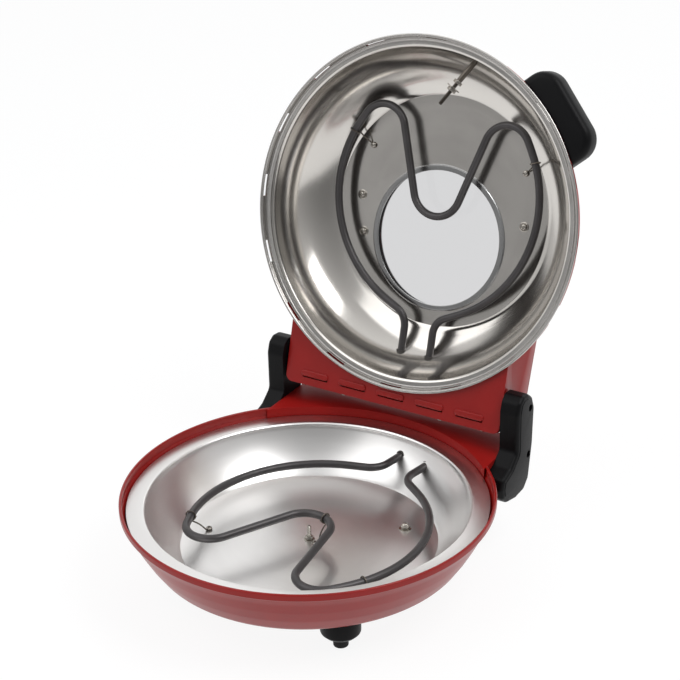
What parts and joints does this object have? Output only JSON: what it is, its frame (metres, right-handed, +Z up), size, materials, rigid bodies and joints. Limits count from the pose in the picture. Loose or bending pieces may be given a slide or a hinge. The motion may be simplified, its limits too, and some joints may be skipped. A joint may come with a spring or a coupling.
{
  "type": "electric pizza maker",
  "caption": "Round clamshell countertop cooker: red bowl base and hinged domed lid, steel reflectors, bent tubular elements, round lid window and black hinge arms.",
  "frame": {"origin": "centre of the open part's bounding box in X and Y, at the underside of the rubber feet", "axes": "+X to the object's right seen from the front, +Y towards the hinge, +Z up"},
  "size_m": [0.35, 0.4668, 0.4642],
  "materials": {
    "red_paint": "gloss enamel",
    "black_plastic": "satin",
    "rubber": "matte",
    "polished_steel": "hazy polish",
    "bright_tray": "soft sheen",
    "element_sheath": "heat darkened, satin",
    "zinc_steel": "bright zinc",
    "dark_screw": "satin",
    "ceramic": "unglazed",
    "terminal_brass": "satin",
    "wire_sleeve": "woven glass sleeve",
    "window_glass": "clear"
  },
  "bodies": {
    "base": {"base_bowl": "red_paint", "rear_housing": "red_paint", "housing_floor": "zinc_steel", "bottom_cover": "zinc_steel", "bottom_screws": "zinc_steel", "lower_reflector": "bright_tray", "lower_element": "element_sheath", "lower_bushes": "ceramic", "lower_terminals": "terminal_brass", "lower_clips": "zinc_steel", "lower_clip_screws": "zinc_steel", "centre_stud": "zinc_steel", "stud_nuts": "zinc_steel", "tray_bolt": "zinc_steel", "thermostat": "ceramic", "fuse_clip": "terminal_brass", "terminal_block": "ceramic", "base_wires": "wire_sleeve", "cord_gland": "black_plastic", "front_feet": "black_plastic", "rear_feet": "black_plastic", "foot_pads": "rubber", "foot_screws": "zinc_steel", "left_arm": "black_plastic", "right_arm": "black_plastic", "left_arm_cover": "black_plastic", "right_arm_cover": "black_plastic", "arm_screws": "dark_screw", "arm_bolts": "zinc_steel", "hinge_pins": "zinc_steel"},
    "lid": {"lid_dome": "red_paint", "lid_ring": "polished_steel", "lid_reflector": "polished_steel", "upper_element": "element_sheath", "upper_bushes": "ceramic", "upper_terminals": "terminal_brass", "upper_clips": "zinc_steel", "upper_clip_screws": "zinc_steel", "lid_posts": "zinc_steel", "lid_screws": "zinc_steel", "lid_stud": "zinc_steel", "lid_stud_nuts": "zinc_steel", "window_glass": "window_glass", "window_gasket": "rubber", "window_inner_ring": "polished_steel", "window_outer_ring": "polished_steel", "lid_box": "red_paint", "lid_box_plate": "red_paint", "plate_brackets": "zinc_steel", "plate_screws": "zinc_steel", "hinge_bushes": "terminal_brass", "lid_handle": "black_plastic", "handle_screws": "zinc_steel"}
  },
  "joints": [
    {"name": "lid_hinge", "type": "hinge", "parent": "base", "child": "lid", "pos_m": [0, 0.11784, 0.1204], "axis": [1, 0, 0], "range_deg": [0, 105.4]}
  ]
}
